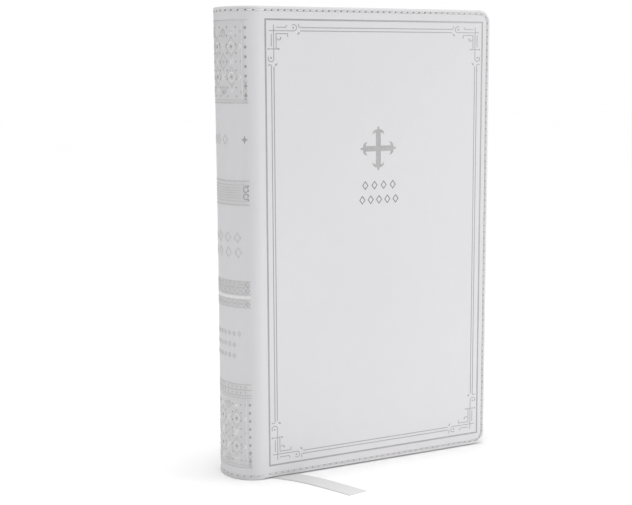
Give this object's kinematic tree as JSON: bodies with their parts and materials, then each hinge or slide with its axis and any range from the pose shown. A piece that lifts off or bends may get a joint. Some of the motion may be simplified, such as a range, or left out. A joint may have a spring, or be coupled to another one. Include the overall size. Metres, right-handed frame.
{
  "type": "bound devotional book",
  "caption": "Thick book in stitched white imitation leather with a rounded stamped spine, a framed front cover with a cross, hinged covers, fanning pages and a ribbon marker.",
  "frame": {"origin": "centre of the closed book's footprint, on the surface that its tail edges stand on", "axes": "+X from the spine to the fore edge, +Y from the front cover to the back cover, +Z from the tail to the head"},
  "size_m": [0.138, 0.0725, 0.219],
  "materials": {
    "white_leather": "satin",
    "silver_foil": "satin",
    "stitching_thread": "satin",
    "grey_board": "matte",
    "endpaper": "matte",
    "plate_paper": "satin",
    "thin_paper": "matte",
    "lining_paper": "matte",
    "mull_gauze": "matte",
    "sewing_thread": "matte",
    "band_silk": "satin",
    "satin_ribbon": "satin"
  },
  "bodies": {
    "text_block": {"section_04": "thin_paper", "section_05": "thin_paper", "section_06": "thin_paper", "section_07": "thin_paper", "section_08": "thin_paper", "section_09": "thin_paper", "section_10": "thin_paper", "section_11": "thin_paper", "section_12": "thin_paper", "section_13": "thin_paper", "section_01_folds": "thin_paper", "section_02_folds": "thin_paper", "section_03_folds": "thin_paper", "section_14_folds": "thin_paper", "section_15_folds": "thin_paper", "section_16_folds": "thin_paper", "spine_leather": "white_leather", "spine_inlay": "grey_board", "spine_stitching": "stitching_thread", "spine_head_panel": "silver_foil", "spine_tail_panel": "silver_foil", "spine_band_lines": "silver_foil", "spine_marks": "silver_foil", "sewing_thread": "sewing_thread", "spine_mull": "mull_gauze", "spine_lining_paper": "lining_paper", "hollow_tube": "lining_paper", "headband": "band_silk", "tailband": "band_silk", "ribbon_marker": "satin_ribbon", "ribbon_tail": "satin_ribbon"},
    "front_cover": {"front_cover_leather": "white_leather", "front_board": "grey_board", "front_pastedown": "endpaper", "front_cover_stitching": "stitching_thread", "front_frame_lines": "silver_foil", "front_corner_scrolls": "silver_foil", "front_cross": "silver_foil", "front_ornament_rows": "silver_foil"},
    "back_cover": {"back_cover_leather": "white_leather", "back_board": "grey_board", "back_pastedown": "endpaper", "back_cover_stitching": "stitching_thread"},
    "front_flyleaf": {"front_flyleaf": "endpaper"},
    "presentation_leaf": {"presentation_leaf": "plate_paper"},
    "title_leaf": {"title_leaf": "plate_paper"},
    "section_01": {"section_01_leaves": "thin_paper"},
    "section_02": {"section_02_leaves": "thin_paper"},
    "section_03": {"section_03_leaves": "thin_paper"},
    "back_flyleaf": {"back_flyleaf": "endpaper"},
    "map_leaf_2": {"map_leaf_2": "plate_paper"},
    "map_leaf_1": {"map_leaf_1": "plate_paper"},
    "section_16": {"section_16_leaves": "thin_paper"},
    "section_15": {"section_15_leaves": "thin_paper"},
    "section_14": {"section_14_leaves": "thin_paper"}
  },
  "joints": [
    {"name": "front_cover_hinge", "type": "hinge", "parent": "text_block", "child": "front_cover", "pos_m": [-0.055, -0.0167, 0.1095], "axis": [0, 0, -1], "range_deg": [0, 178]},
    {"name": "front_flyleaf_turn", "type": "hinge", "parent": "text_block", "child": "front_flyleaf", "pos_m": [-0.055, -0.0167, 0.1095], "axis": [0, 0, -1], "range_deg": [0, 167.4]},
    {"name": "presentation_leaf_turn", "type": "hinge", "parent": "text_block", "child": "presentation_leaf", "pos_m": [-0.055, -0.0167, 0.1095], "axis": [0, 0, -1], "range_deg": [0, 156.7]},
    {"name": "title_leaf_turn", "type": "hinge", "parent": "text_block", "child": "title_leaf", "pos_m": [-0.055, -0.0167, 0.1095], "axis": [0, 0, -1], "range_deg": [0, 142.5]},
    {"name": "section_01_turn", "type": "hinge", "parent": "text_block", "child": "section_01", "pos_m": [-0.055, -0.0167, 0.1095], "axis": [0, 0, -1], "range_deg": [0, 117.6]},
    {"name": "section_02_turn", "type": "hinge", "parent": "text_block", "child": "section_02", "pos_m": [-0.055, -0.0167, 0.1095], "axis": [0, 0, -1], "range_deg": [0, 89.1]},
    {"name": "section_03_turn", "type": "hinge", "parent": "text_block", "child": "section_03", "pos_m": [-0.055, -0.0167, 0.1095], "axis": [0, 0, -1], "range_deg": [0, 60.6]},
    {"name": "back_cover_hinge", "type": "hinge", "parent": "text_block", "child": "back_cover", "pos_m": [-0.055, 0.0167, 0.1095], "axis": [0, 0, 1], "range_deg": [0, 178]},
    {"name": "back_flyleaf_turn", "type": "hinge", "parent": "text_block", "child": "back_flyleaf", "pos_m": [-0.055, 0.0167, 0.1095], "axis": [0, 0, 1], "range_deg": [0, 167.4]},
    {"name": "map_leaf_2_turn", "type": "hinge", "parent": "text_block", "child": "map_leaf_2", "pos_m": [-0.055, 0.0167, 0.1095], "axis": [0, 0, 1], "range_deg": [0, 156.7]},
    {"name": "map_leaf_1_turn", "type": "hinge", "parent": "text_block", "child": "map_leaf_1", "pos_m": [-0.055, 0.0167, 0.1095], "axis": [0, 0, 1], "range_deg": [0, 142.5]},
    {"name": "section_16_turn", "type": "hinge", "parent": "text_block", "child": "section_16", "pos_m": [-0.055, 0.0167, 0.1095], "axis": [0, 0, 1], "range_deg": [0, 117.6]},
    {"name": "section_15_turn", "type": "hinge", "parent": "text_block", "child": "section_15", "pos_m": [-0.055, 0.0167, 0.1095], "axis": [0, 0, 1], "range_deg": [0, 89.1]},
    {"name": "section_14_turn", "type": "hinge", "parent": "text_block", "child": "section_14", "pos_m": [-0.055, 0.0167, 0.1095], "axis": [0, 0, 1], "range_deg": [0, 60.6]}
  ],
  "couplings": [
    {"joint": "front_flyleaf_turn", "follows": "front_cover_hinge", "ratio": 0.94},
    {"joint": "presentation_leaf_turn", "follows": "front_cover_hinge", "ratio": 0.88},
    {"joint": "title_leaf_turn", "follows": "front_cover_hinge", "ratio": 0.8},
    {"joint": "section_01_turn", "follows": "front_cover_hinge", "ratio": 0.66},
    {"joint": "section_02_turn", "follows": "front_cover_hinge", "ratio": 0.5},
    {"joint": "section_03_turn", "follows": "front_cover_hinge", "ratio": 0.34},
    {"joint": "back_flyleaf_turn", "follows": "back_cover_hinge", "ratio": 0.94},
    {"joint": "map_leaf_2_turn", "follows": "back_cover_hinge", "ratio": 0.88},
    {"joint": "map_leaf_1_turn", "follows": "back_cover_hinge", "ratio": 0.8},
    {"joint": "section_16_turn", "follows": "back_cover_hinge", "ratio": 0.66},
    {"joint": "section_15_turn", "follows": "back_cover_hinge", "ratio": 0.5},
    {"joint": "section_14_turn", "follows": "back_cover_hinge", "ratio": 0.34}
  ]
}
